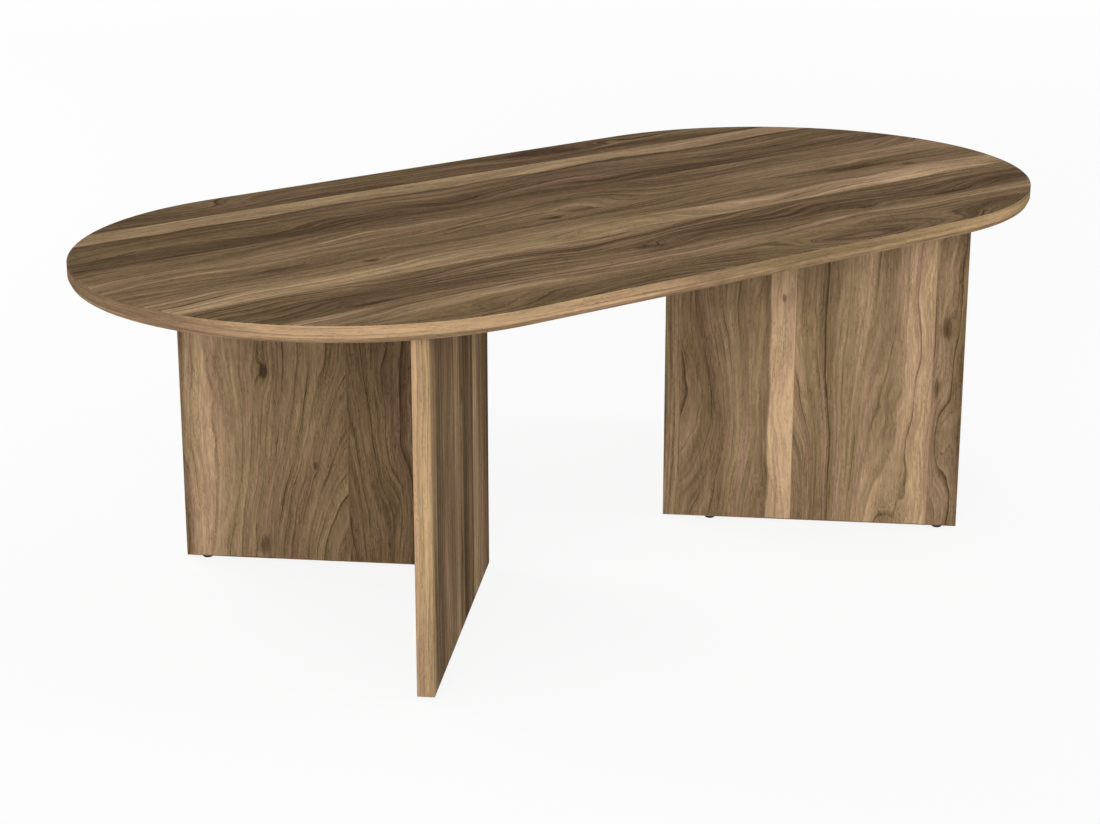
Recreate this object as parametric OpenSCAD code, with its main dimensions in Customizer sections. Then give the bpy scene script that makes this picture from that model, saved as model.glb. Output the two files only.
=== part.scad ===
// Racetrack coffee table on two L-shaped panel legs.
// Millimetres, +Z up. The origin is on the floor, under the middle of the top.
// +X runs along the table. Each leg is drawn in a leg frame: its outer corner is the origin,
// the short arm runs along x and the long arm along y. The legs are the same, half a turn apart.

/* [Top] */
// Overall length of the top
top_l = 1200; // [1160:10:1500]
// Overall width of the top
top_w = 600; // [560:10:700]
// Overall thickness of the top
top_t = 18; // [16:1:28]
// Width of the wooden lipping round the core
lip_w = 5; // [4:0.5:10]
// Height of the bevel along the lower edge of the rim
bevel_h = 5; // [2:0.5:8]
// How far that bevel cuts in under the rim
bevel_run = 2.5; // [1:0.25:3.5]
// Width of the small bevel on the upper edge
arris = 0.4; // [0.2:0.1:0.6]

/* [Legs] */
// Height of a leg panel, foot band included
leg_h = 375; // [300:5:480]
// Reach of the short arm from the leg's outer corner
short_reach = 348; // [270:2:380]
// Reach of the long arm from the leg's outer corner
long_reach = 376; // [290:2:390]
// Distance between the outer corners of the two legs
corner_gap = 260; // [160:10:300]
// Angle of the short arm from the table's long axis
arm_turn = 135; // [125:1:140]
// Thickness of the leg panels
panel_t = 18; // [16:1:25]

/* [Sheets and bands] */
// Thickness of the laminate sheets on both faces of every board
sheet_t = 0.8; // [0.4:0.1:1.2]
// Thickness of the edge bands on the leg panels
band_t = 1; // [0.8:0.1:2]
// Radius on the long edges of the upright bands
band_r = 0.8; // [0.3:0.1:0.8]

/* [Cam fittings] */
// Diameter of a cam and its bore
cam_d = 15; // [14:0.5:18]
// Distance of a cam's centre from the joint
cam_edge = 34; // [26:1:42]
// Running clearance of a cam in its bore, at the side and at the floor
cam_gap = 0.05; // [0.02:0.01:0.1]
// How far a cam sits below the face of the panel
cam_sink = 0.2; // [0.1:0.1:0.5]
// Thickness of a cam's floor
cam_floor = 0.7; // [0.6:0.1:1.5]
// Diameter of the ball on the end of a connecting bolt
ball_d = 6.8; // [6:0.2:7.2]
// Diameter of the bolt's neck
neck_d = 4; // [3:0.2:4.4]
// Free space round the ball and the neck inside a cam
grip_gap = 0.2; // [0.15:0.05:0.3]
// Distance between the centre of a cam and the centre of its ball pocket
cam_throw = 0.7; // [0.3:0.1:0.9]
// Diameter of the bolt's plain shank
shank_d = 6; // [5:0.5:7]
// Diameter of the bolt's thread
thread_d = 7; // [5:0.5:8]
// Length of the thread in the mating board
thread_l = 11; // [8:0.5:12]
// Diameter of the bolt's channel in the edge of a panel
channel_d = 8; // [7.5:0.5:9]
// Distance of the top fittings from the leg's outer corner
corner_inset = 96; // [90:1:110]
// Distance of the top fittings from a panel's free end
free_inset = 60; // [45:1:80]
// Distance of the corner fittings from the panel's head and foot
post_inset = 64; // [60:1:80]

/* [Dowels] */
// Diameter of a dowel
dowel_d = 8; // [6:0.5:10]
// Length of a dowel
dowel_l = 30; // [24:1:36]
// Depth of a dowel in the board that is not drilled on its edge
dowel_sink = 12; // [9:0.5:13]
// Distance between a dowel and the bolt next to it
dowel_step = 32; // [20:1:36]

/* [Glides] */
// Height of a glide under the foot band
glide_h = 4; // [3:0.5:8]
// Diameter of a glide where it meets the foot band
glide_d = 14; // [10:0.5:16]
// Diameter of the flat underneath a glide
glide_foot_d = 9; // [7:0.5:9.5]
// Distance of a glide from a panel's free end
glide_free = 22; // [15:1:40]
// Distance of a glide from the leg's outer corner
glide_corner = 56; // [40:1:80]
// Diameter of a glide's nail
nail_d = 2.2; // [1.6:0.2:3]
// Length of the nail above the glide
nail_l = 17; // [12:1:22]

/* [Hidden] */
$fn = 48;

// Facets of the big arcs at the ends of the top
rim_fn = 240;
// Heights of the table, from the floor up
panel_foot = glide_h;
board_foot = panel_foot + band_t;
leg_top = panel_foot + leg_h;
top_under = leg_top;
core_h = top_t - 2 * sheet_t;
lip_h = top_t - sheet_t;
// Half the straight part of the top's long side
half_run = (top_l - top_w) / 2;
rim_r = top_w / 2;

// Where the fittings, the dowels and the glides stand along each arm and up the corner
short_bolt_x = [corner_inset, short_reach - free_inset];
long_bolt_y = [corner_inset, long_reach - free_inset];
corner_bolt_z = [panel_foot + post_inset, leg_top - post_inset];
short_dowel_x = [short_bolt_x[0] - dowel_step, short_bolt_x[1] + dowel_step];
long_dowel_y = [long_bolt_y[0] - dowel_step, long_bolt_y[1] + dowel_step];
corner_dowel_z = [corner_bolt_z[0] + dowel_step, corner_bolt_z[1] - dowel_step];
short_glide_x = [glide_corner, short_reach - glide_free];
long_glide_y = [glide_corner, long_reach - glide_free];

// A cam's ball pocket, and the slot and the window in its wall
pocket_h = ball_d + 2 * grip_gap;
slot_h = neck_d + 2 * grip_gap;
cam_below = pocket_h / 2 + cam_floor;
cam_above = panel_t / 2 - cam_sink;
// The ball sits just past the centre of the cam, so that the cam draws it in as it turns
ball_lead = 0.9;
pocket_r = ball_lead + ball_d / 2 + grip_gap + cam_throw;
cross_w = 1.2;
cross_l = 7;
cross_depth = 2.5;
mark_depth = 0.4;

// The bolt, measured from the joint back to the ball
collar_h = 1.2;
collar_gap = 0.1;
neck_start = cam_edge - cam_d / 2 - 0.6;
ball_at = cam_edge - ball_lead;
thread_pitch = 2;
thread_depth = 1;
bore_spare = 0.5;
eps = 0.01;

walnut = [0.47, 0.37, 0.28];
honey = [0.74, 0.60, 0.44];
board = [0.76, 0.66, 0.50];
zinc = [0.75, 0.75, 0.76];
beech = [0.86, 0.72, 0.52];
black_plastic = [0.08, 0.08, 0.08];

// Frames

module in_leg(side) {
    rotate([0, 0, side == "left" ? 0 : 180])
        translate([-corner_gap / 2, 0, 0])
            rotate([0, 0, arm_turn])
                children();
}

// The three joint frames: x points out of the panel's edge into its mate,
// z points out of the face that holds the cam, and the origin is in the joint, at mid-thickness.
module at_short_top(x) translate([x, panel_t / 2, leg_top]) rotate([0, -90, -90]) children();
module at_long_top(y) translate([panel_t / 2, y, leg_top]) rotate([0, -90, 180]) children();
module at_corner(z) translate([panel_t, panel_t / 2, z]) rotate([-90, 180, 0]) children();

// Carries a profile round the edge of the top. The profile's x is measured from the long axis.
module round_the_top() {
    for (turn = [0, 180]) rotate([0, 0, turn]) {
        translate([half_run, 0, top_under])
            rotate([0, 0, -90])
                rotate_extrude(angle = 180, $fn = rim_fn) children();
        translate([-half_run, 0, top_under])
            rotate([90, 0, 90])
                linear_extrude(2 * half_run) children();
    }
}

// A plain racetrack plate, set in from the rim
module racetrack(inset, z0, h) {
    for (s = [-1, 1]) translate([s * half_run, 0, z0]) cylinder(r = rim_r - inset, h = h, $fn = rim_fn);
    translate([-half_run, inset - rim_r, z0]) cube([2 * half_run, 2 * (rim_r - inset), h]);
}

// A box between two corners
module span(low, high) translate(low) cube(high - low);

// Cuts

module dowel_hole() {
    translate([-(dowel_l - dowel_sink) - bore_spare, 0, 0])
        rotate([0, 90, 0]) cylinder(d = dowel_d, h = dowel_l + 2 * bore_spare);
}

module bolt_hole() {
    translate([-eps, 0, 0]) rotate([0, 90, 0]) cylinder(d = thread_d, h = thread_l + bore_spare + eps);
}

module bolt_channel() {
    rotate([0, -90, 0]) cylinder(d = channel_d, h = cam_edge);
}

module cam_bore() {
    translate([-cam_edge, 0, -cam_below - cam_gap])
        cylinder(d = cam_d, h = cam_below + cam_gap + panel_t / 2 + eps);
}

module nail_hole(p) {
    translate([p[0], p[1], panel_foot - eps]) cylinder(d = nail_d, h = nail_l + bore_spare + eps);
}

// Everything that is drilled from below into the top
module top_cuts() {
    for (side = ["left", "right"]) in_leg(side) {
        for (x = short_bolt_x) at_short_top(x) bolt_hole();
        for (y = long_bolt_y) at_long_top(y) bolt_hole();
        for (x = short_dowel_x) at_short_top(x) dowel_hole();
        for (y = long_dowel_y) at_long_top(y) dowel_hole();
    }
}

// Everything that is drilled into a short panel, in the leg frame
module short_cuts() {
    for (x = short_bolt_x) at_short_top(x) {
        cam_bore();
        bolt_channel();
    }
    for (z = corner_bolt_z) at_corner(z) {
        cam_bore();
        bolt_channel();
    }
    for (x = short_dowel_x) at_short_top(x) dowel_hole();
    for (z = corner_dowel_z) at_corner(z) dowel_hole();
    for (x = short_glide_x) nail_hole([x, panel_t / 2]);
}

// Everything that is drilled into a long panel, in the leg frame
module long_cuts() {
    for (y = long_bolt_y) at_long_top(y) {
        cam_bore();
        bolt_channel();
    }
    for (z = corner_bolt_z) at_corner(z) bolt_hole();
    for (y = long_dowel_y) at_long_top(y) dowel_hole();
    for (z = corner_dowel_z) at_corner(z) dowel_hole();
    for (y = long_glide_y) nail_hole([panel_t / 2, y]);
}

// Table top

module top_core() {
    color(board) difference() {
        racetrack(lip_w, top_under + sheet_t, core_h);
        top_cuts();
    }
}

module top_lipping() {
    color(honey) round_the_top()
        polygon([
            [rim_r - lip_w, 0], [rim_r - bevel_run, 0], [rim_r, bevel_h],
            [rim_r, lip_h], [rim_r - lip_w, lip_h]
        ]);
}

module top_face_sheet() {
    color(walnut) round_the_top()
        polygon([
            [0, lip_h], [rim_r, lip_h], [rim_r, top_t - arris], [rim_r - arris, top_t], [0, top_t]
        ]);
}

module top_backing_sheet() {
    color(walnut) difference() {
        racetrack(lip_w, top_under, sheet_t);
        top_cuts();
    }
}

// Leg panels, in the leg frame. y0 and y1 bound the thickness of the layer being drawn.

module short_layer(y0, y1) {
    difference() {
        span([panel_t, y0, board_foot], [short_reach - band_t, y1, leg_top]);
        short_cuts();
    }
}

module long_layer(x0, x1) {
    difference() {
        span([x0, band_t, board_foot], [x1, long_reach - band_t, leg_top]);
        long_cuts();
    }
}

// An upright band, flat on y = 0 and with its outer edges rounded
module upright_band() {
    translate([0, 0, panel_foot]) linear_extrude(leg_h) {
        square([panel_t, band_t - band_r]);
        translate([band_r, 0]) square([panel_t - 2 * band_r, band_t]);
        for (x = [band_r, panel_t - band_r])
            translate([x, band_t - band_r]) intersection() {
                circle(r = band_r);
                translate([-band_r, 0]) square([2 * band_r, band_r]);
            }
    }
}

module short_core() {
    color(board) short_layer(sheet_t, panel_t - sheet_t);
}

module short_inner_sheet() {
    color(walnut) short_layer(panel_t - sheet_t, panel_t);
}

module short_outer_sheet() {
    color(walnut) short_layer(0, sheet_t);
}

module short_end_band() {
    color(honey) translate([short_reach - band_t, panel_t, 0]) rotate([0, 0, -90]) upright_band();
}

module short_foot_band() {
    color(honey) difference() {
        span([panel_t, 0, panel_foot], [short_reach - band_t, panel_t, board_foot]);
        short_cuts();
    }
}

module long_core() {
    color(board) long_layer(sheet_t, panel_t - sheet_t);
}

module long_inner_sheet() {
    color(walnut) long_layer(panel_t - sheet_t, panel_t);
}

module long_outer_sheet() {
    color(walnut) long_layer(0, sheet_t);
}

module long_end_band() {
    color(honey) translate([0, long_reach - band_t, 0]) upright_band();
}

module long_corner_band() {
    color(walnut) translate([panel_t, band_t, 0]) rotate([0, 0, 180]) upright_band();
}

module long_foot_band() {
    color(honey) difference() {
        span([0, band_t, panel_foot], [panel_t, long_reach - band_t, board_foot]);
        long_cuts();
    }
}

// Fittings

// A cam in a joint frame, at rest with the bolt's ball drawn in and held.
// Turned half a turn about its axis, its window faces the bolt and lets the ball out.
module cam() {
    color(zinc) translate([-cam_edge, 0, 0]) difference() {
        translate([0, 0, -cam_below]) cylinder(r = cam_d / 2 - cam_gap, h = cam_below + cam_above);
        translate([-cam_throw, 0, -pocket_h / 2]) cylinder(r = pocket_r, h = pocket_h);
        rotate([0, 0, 180])
            rotate_extrude(angle = 180) translate([cam_d / 8, -slot_h / 2]) square([cam_d, slot_h]);
        rotate([0, 90, 0]) cylinder(d = slot_h, h = cam_d);
        rotate([0, -90, 0]) cylinder(d = pocket_h, h = cam_d);
        for (a = [0, 90]) rotate([0, 0, a + 45])
            translate([-cross_l / 2, -cross_w / 2, cam_above - cross_depth])
                cube([cross_l, cross_w, cross_depth + eps]);
        // The arrow over the window
        translate([0, 0, cam_above - mark_depth])
            linear_extrude(mark_depth + eps)
                polygon([[-cam_d * 0.44, 0], [-cam_d * 0.33, cross_w], [-cam_d * 0.33, -cross_w]]);
    }
}

// A connecting bolt in a joint frame: its thread is in the mate and its ball is in the cam
module connecting_bolt() {
    turns = floor(thread_l / thread_pitch);
    crest = thread_d / 2;
    root = crest - thread_depth;
    rotate([0, 90, 0]) {
        rotate_extrude() polygon(concat(
            [[0, 0]],
            [for (i = [0:turns - 1]) each [[root, i * thread_pitch], [crest, (i + 0.5) * thread_pitch]]],
            [[root, turns * thread_pitch], [0, thread_l]]
        ));
        translate([0, 0, -collar_h]) cylinder(d = channel_d - 2 * collar_gap, h = collar_h);
        translate([0, 0, -neck_start]) cylinder(d = shank_d, h = neck_start);
        translate([0, 0, -ball_at]) cylinder(d = neck_d, h = ball_at);
        translate([0, 0, -ball_at]) sphere(d = ball_d);
    }
}

// A dowel in a joint frame, with bevelled ends
module dowel() {
    r = dowel_d / 2;
    cut = dowel_d / 8;
    translate([-(dowel_l - dowel_sink), 0, 0]) rotate([0, 90, 0]) rotate_extrude()
        polygon([[0, 0], [r - cut, 0], [r, cut], [r, dowel_l - cut], [r - cut, dowel_l], [0, dowel_l]]);
}

module leg_top_bolts() {
    for (x = short_bolt_x) at_short_top(x) connecting_bolt();
    for (y = long_bolt_y) at_long_top(y) connecting_bolt();
}

module leg_top_dowels() {
    for (x = short_dowel_x) at_short_top(x) dowel();
    for (y = long_dowel_y) at_long_top(y) dowel();
}

// Glides

nail_head_d = 6;
nail_head_h = 1;
nail_head_z = 2;

module glide_nail() {
    translate([0, 0, nail_head_z]) cylinder(d = nail_head_d, h = nail_head_h);
    translate([0, 0, nail_head_z]) cylinder(d = nail_d, h = glide_h - nail_head_z + nail_l);
}

// A domed pad, moulded round the head of its nail
module glide_pad() {
    foot_r = glide_foot_d / 2;
    flare = glide_d / 2 - foot_r;
    difference() {
        rotate_extrude() polygon(concat(
            [[0, 0]],
            [for (a = [0:15:90]) [foot_r + flare * sin(a), glide_h * (1 - cos(a))]],
            [[0, glide_h]]
        ));
        glide_nail();
    }
}

module at_glides() {
    for (x = short_glide_x) translate([x, panel_t / 2, 0]) children();
    for (y = long_glide_y) translate([panel_t / 2, y, 0]) children();
}

// Named pieces

module left_short_core() in_leg("left") short_core();
module left_short_inner_sheet() in_leg("left") short_inner_sheet();
module left_short_outer_sheet() in_leg("left") short_outer_sheet();
module left_short_end_band() in_leg("left") short_end_band();
module left_short_foot_band() in_leg("left") short_foot_band();
module left_long_core() in_leg("left") long_core();
module left_long_inner_sheet() in_leg("left") long_inner_sheet();
module left_long_outer_sheet() in_leg("left") long_outer_sheet();
module left_long_end_band() in_leg("left") long_end_band();
module left_long_corner_band() in_leg("left") long_corner_band();
module left_long_foot_band() in_leg("left") long_foot_band();

module right_short_core() in_leg("right") short_core();
module right_short_inner_sheet() in_leg("right") short_inner_sheet();
module right_short_outer_sheet() in_leg("right") short_outer_sheet();
module right_short_end_band() in_leg("right") short_end_band();
module right_short_foot_band() in_leg("right") short_foot_band();
module right_long_core() in_leg("right") long_core();
module right_long_inner_sheet() in_leg("right") long_inner_sheet();
module right_long_outer_sheet() in_leg("right") long_outer_sheet();
module right_long_end_band() in_leg("right") long_end_band();
module right_long_corner_band() in_leg("right") long_corner_band();
module right_long_foot_band() in_leg("right") long_foot_band();

module left_short_cam_near() in_leg("left") at_short_top(short_bolt_x[0]) cam();
module left_short_cam_far() in_leg("left") at_short_top(short_bolt_x[1]) cam();
module left_long_cam_near() in_leg("left") at_long_top(long_bolt_y[0]) cam();
module left_long_cam_far() in_leg("left") at_long_top(long_bolt_y[1]) cam();
module left_corner_cam_low() in_leg("left") at_corner(corner_bolt_z[0]) cam();
module left_corner_cam_high() in_leg("left") at_corner(corner_bolt_z[1]) cam();
module right_short_cam_near() in_leg("right") at_short_top(short_bolt_x[0]) cam();
module right_short_cam_far() in_leg("right") at_short_top(short_bolt_x[1]) cam();
module right_long_cam_near() in_leg("right") at_long_top(long_bolt_y[0]) cam();
module right_long_cam_far() in_leg("right") at_long_top(long_bolt_y[1]) cam();
module right_corner_cam_low() in_leg("right") at_corner(corner_bolt_z[0]) cam();
module right_corner_cam_high() in_leg("right") at_corner(corner_bolt_z[1]) cam();

module top_bolts() color(zinc) for (side = ["left", "right"]) in_leg(side) leg_top_bolts();
module left_corner_bolts() color(zinc) in_leg("left") for (z = corner_bolt_z) at_corner(z) connecting_bolt();
module right_corner_bolts() color(zinc) in_leg("right") for (z = corner_bolt_z) at_corner(z) connecting_bolt();
module top_dowels() color(beech) for (side = ["left", "right"]) in_leg(side) leg_top_dowels();
module left_corner_dowels() color(beech) in_leg("left") for (z = corner_dowel_z) at_corner(z) dowel();
module right_corner_dowels() color(beech) in_leg("right") for (z = corner_dowel_z) at_corner(z) dowel();

module left_glide_pads() color(black_plastic) in_leg("left") at_glides() glide_pad();
module right_glide_pads() color(black_plastic) in_leg("right") at_glides() glide_pad();
module left_glide_nails() color(zinc) in_leg("left") at_glides() glide_nail();
module right_glide_nails() color(zinc) in_leg("right") at_glides() glide_nail();

top_core();
top_lipping();
top_face_sheet();
top_backing_sheet();
left_short_core();
left_short_inner_sheet();
left_short_outer_sheet();
left_short_end_band();
left_short_foot_band();
left_long_core();
left_long_inner_sheet();
left_long_outer_sheet();
left_long_end_band();
left_long_corner_band();
left_long_foot_band();
right_short_core();
right_short_inner_sheet();
right_short_outer_sheet();
right_short_end_band();
right_short_foot_band();
right_long_core();
right_long_inner_sheet();
right_long_outer_sheet();
right_long_end_band();
right_long_corner_band();
right_long_foot_band();
left_short_cam_near();
left_short_cam_far();
left_long_cam_near();
left_long_cam_far();
left_corner_cam_low();
left_corner_cam_high();
right_short_cam_near();
right_short_cam_far();
right_long_cam_near();
right_long_cam_far();
right_corner_cam_low();
right_corner_cam_high();
top_bolts();
left_corner_bolts();
right_corner_bolts();
top_dowels();
left_corner_dowels();
right_corner_dowels();
left_glide_pads();
right_glide_pads();
left_glide_nails();
right_glide_nails();
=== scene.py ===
"""Coffee table in walnut laminate: a racetrack top on two L-shaped legs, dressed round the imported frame.

Every length is in metres, or in millimetres where a docstring says so, in the frame of the CAD model:
the origin on the floor under the middle of the top, +X along the table and +Z up. The CAD nodes keep
their shapes and get procedural finishes. The lipping round the top is rebuilt here as a carried
profile, so that its grain can follow the rim.
"""
import logging
import math
from dataclasses import dataclass
from enum import Enum
from typing import ClassVar, Dict, List, Mapping, Optional, Sequence, Tuple, Union

import bpy
import numpy as np
from mathutils import Matrix, Vector


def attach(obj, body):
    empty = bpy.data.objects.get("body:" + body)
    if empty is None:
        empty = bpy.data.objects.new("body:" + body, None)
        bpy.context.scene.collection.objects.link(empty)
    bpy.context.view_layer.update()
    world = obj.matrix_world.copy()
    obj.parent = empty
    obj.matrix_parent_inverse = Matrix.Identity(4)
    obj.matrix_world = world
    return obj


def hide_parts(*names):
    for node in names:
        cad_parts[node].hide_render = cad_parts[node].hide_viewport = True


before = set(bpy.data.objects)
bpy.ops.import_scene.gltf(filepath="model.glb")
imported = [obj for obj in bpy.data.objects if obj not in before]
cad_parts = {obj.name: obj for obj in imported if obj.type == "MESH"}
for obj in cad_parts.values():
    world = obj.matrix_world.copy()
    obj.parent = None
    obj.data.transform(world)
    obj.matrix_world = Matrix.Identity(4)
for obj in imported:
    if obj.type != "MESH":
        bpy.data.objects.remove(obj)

LOG = logging.getLogger("coffee_table")
HALF_ROOT = math.sqrt(0.5)
MM = 0.001
WHITE = (1.0, 1.0, 1.0, 1.0)

Pair = Tuple[float, float]
Triple = Tuple[float, float, float]
Colour = Tuple[int, int, int]
Stop = Tuple[float, Sequence[float]]
Tones = Mapping[float, float]
Feed = Union[float, Sequence[float], "Value"]
Key = Union[int, str]
Feeds = Mapping[Key, Feed]


def linear(colour: Colour) -> Tuple[float, float, float, float]:
    """Turns a screen colour into the linear one that a shader takes.

    Args:
        colour: red, green and blue, each from 0 to 255.

    Returns:
        Red, green, blue and alpha, each from 0 to 1.
    """
    shares = [c / 255 for c in colour]
    light = [s / 12.92 if s <= 0.04045 else ((s + 0.055) / 1.055) ** 2.4 for s in shares]
    return (light[0], light[1], light[2], 1.0)


class Value:
    """An output in a shader tree. Plain sums with it add the Math nodes that work them out."""

    def __init__(self, net: "Net", socket: bpy.types.NodeSocket) -> None:
        """Keeps the output and its tree."""
        self.net, self.socket = net, socket

    def __add__(self, other: Feed) -> "Value":
        """Gives the sum."""
        return self.net.math("ADD", self, other)

    def __mul__(self, other: Feed) -> "Value":
        """Gives the product."""
        return self.net.math("MULTIPLY", self, other)

    def __sub__(self, other: Feed) -> "Value":
        """Gives the difference."""
        return self.net.math("SUBTRACT", self, other)

    def __rsub__(self, other: Feed) -> "Value":
        """Gives the difference from a plain number."""
        return self.net.math("SUBTRACT", other, self)

    def __truediv__(self, other: Feed) -> "Value":
        """Gives the quotient."""
        return self.net.math("DIVIDE", self, other)

    __radd__, __rmul__ = __add__, __mul__

    def swing(self, reach: Feed) -> "Value":
        """Turns a noise from 0 to 1 into a swing from minus reach to plus reach."""
        return (self - 0.5) * 2.0 * reach

    def lean(self, first: Feed, second: Feed) -> "Value":
        """Gives a value that runs from first to second as this one runs from 0 to 1."""
        return first + self * (second - first)

    def remap(
        self, low: Feed, high: Feed, to_low: Feed = 0.0, to_high: Feed = 1.0, smooth: bool = True
    ) -> "Value":
        """Carries the value from one range to another.

        Args:
            low: the start of its range.
            high: the end of its range.
            to_low: the result at the start.
            to_high: the result at the end.
            smooth: whether the ends are eased.

        Returns:
            The carried value.
        """
        feeds = {0: self, 1: low, 2: high, 3: to_low, 4: to_high}
        kind = "SMOOTHSTEP" if smooth else "LINEAR"
        return self.net.out("ShaderNodeMapRange", feeds, interpolation_type=kind)


class Net:
    """A shader tree in the making: adds nodes and joins them up."""

    def __init__(self, tree: bpy.types.NodeTree) -> None:
        """Keeps the tree that the nodes go into."""
        self.tree = tree

    def join(self, feed: Feed, socket: bpy.types.NodeSocket) -> None:
        """Links an output to an input, or sets the input to a plain value.

        Args:
            feed: the output or the plain value.
            socket: the input.
        """
        if isinstance(feed, Value):
            self.tree.links.new(feed.socket, socket)
        else:
            socket.default_value = feed

    def place(self, kind: str, feeds: Optional[Feeds] = None, **settings: object) -> bpy.types.Node:
        """Adds one node.

        Args:
            kind: the node's type name.
            feeds: what goes into its inputs, by name or number.
            settings: the node's own properties.

        Returns:
            The new node.
        """
        node = self.tree.nodes.new(kind)
        for name, value in settings.items():
            setattr(node, name, value)
        for key, feed in (feeds or {}).items():
            self.join(feed, node.inputs[key])
        return node

    def out(self, kind: str, feeds: Optional[Feeds] = None, key: Key = 0, **settings: object) -> Value:
        """Adds one node and gives one of its outputs."""
        return Value(self, self.place(kind, feeds, **settings).outputs[key])

    def outs(self, kind: str, feeds: Optional[Feeds] = None, **settings: object) -> Dict[str, Value]:
        """Adds one node and gives its outputs by name."""
        return {socket.name: Value(self, socket) for socket in self.place(kind, feeds, **settings).outputs}

    def here(self) -> Value:
        """Gives the object's own coordinates."""
        return self.out("ShaderNodeTexCoord", key="Object")

    def math(self, operation: str, *feeds: Feed) -> Value:
        """Gives the result of one Math node."""
        return self.out("ShaderNodeMath", dict(enumerate(feeds)), operation=operation)

    def length(self, vector: Value) -> Value:
        """Gives a vector's length."""
        return self.out("ShaderNodeVectorMath", {0: vector}, 1, operation="LENGTH")

    def split(self, vector: Value) -> Sequence[Value]:
        """Gives a vector's X, Y and Z, or a colour's red, green and blue."""
        return list(self.outs("ShaderNodeSeparateXYZ", {0: vector}).values())

    def point(self, x: Feed, y: Feed, z: Feed = 0.0) -> Value:
        """Gives a vector made of three values."""
        return self.out("ShaderNodeCombineXYZ", {0: x, 1: y, 2: z})

    def noise(self, vector: Value, scale: float, detail: float = 2.0, roughness: float = 0.5) -> Value:
        """Gives a smooth noise from 0 to 1, with about scale swells to a metre."""
        feeds = {"Vector": vector, "Scale": scale, "Detail": detail, "Roughness": roughness}
        return self.out("ShaderNodeTexNoise", feeds)

    def grain(
        self, x: Feed, y: Feed, z: Feed, along: Feed, across: Feed,
        detail: float = 2.0, roughness: float = 0.5,
    ) -> Value:
        """Gives a noise drawn out along the grain, with about so many swells to a metre each way."""
        return self.noise(self.point(x * along, y * across, z), 1.0, detail, roughness)

    def cells(self, x: Feed, y: Feed, z: Feed) -> Dict[str, Value]:
        """Gives the Distance and Color of scattered cells, about one to a unit each way."""
        return self.outs("ShaderNodeTexVoronoi", {"Vector": self.point(x, y, z), "Scale": 1.0})

    def ramp(self, value: Value, stops: Sequence[Stop]) -> Value:
        """Gives the colour at a place on a ramp.

        Args:
            value: the place, from 0 to 1.
            stops: each stop's place and its red, green, blue and alpha.

        Returns:
            The colour.
        """
        node = self.place("ShaderNodeValToRGB", {0: value})
        elements = node.color_ramp.elements
        while len(elements) < len(stops):
            elements.new(1.0)
        for element, (place, shade) in zip(elements, stops):
            element.position, element.color = place, shade
        return Value(self, node.outputs[0])

    def blend(self, share: Feed, first: Feed, second: Feed, mode: str = "MIX") -> Value:
        """Gives two colours mixed by a share from 0 to 1."""
        feeds = {0: share, 6: first, 7: second}
        return self.out("ShaderNodeMix", feeds, 2, data_type="RGBA", blend_type=mode)

    def bump(self, height: Value, strength: float, depth: float) -> Value:
        """Gives the normal of a relief whose height runs from 0 to 1 and whose depth is in metres."""
        return self.out("ShaderNodeBump", {"Strength": strength, "Distance": depth, "Height": height})


class EffectGroup:
    """A shader node group with named sockets, built once and placed in each finish that uses it."""

    name: ClassVar[str] = ""
    takes: ClassVar[Dict[str, Feed]] = {}
    gives: ClassVar[Tuple[str, ...]] = ()

    @classmethod
    def wire(cls, net: Net, given: Mapping[str, Value]) -> Dict[str, Feed]:
        """Joins the group's nodes. Each group has its own way.

        Args:
            net: the group's tree.
            given: the group's inputs by name.

        Returns:
            What feeds each output, by name.
        """
        raise NotImplementedError

    @classmethod
    def tree(cls) -> bpy.types.NodeTree:
        """Builds the group's tree the first time.

        Returns:
            The group's tree.
        """
        if cls.name not in bpy.data.node_groups:
            tree = bpy.data.node_groups.new(cls.name, "ShaderNodeTree")
            for name, value in cls.takes.items():
                kind = "NodeSocketVector" if isinstance(value, tuple) else "NodeSocketFloat"
                tree.interface.new_socket(name=name, in_out="INPUT", socket_type=kind).default_value = value
            for name in cls.gives:
                tree.interface.new_socket(name=name, in_out="OUTPUT", socket_type="NodeSocketFloat")
            net = Net(tree)
            net.place("NodeGroupOutput", cls.wire(net, net.outs("NodeGroupInput")))
        return bpy.data.node_groups[cls.name]

    @classmethod
    def use(cls, net: Net, feeds: Feeds) -> Dict[str, Value]:
        """Places the group in a tree, with its feeds by name, and gives its outputs by name."""
        return net.outs("ShaderNodeGroup", feeds, node_tree=cls.tree())


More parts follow.
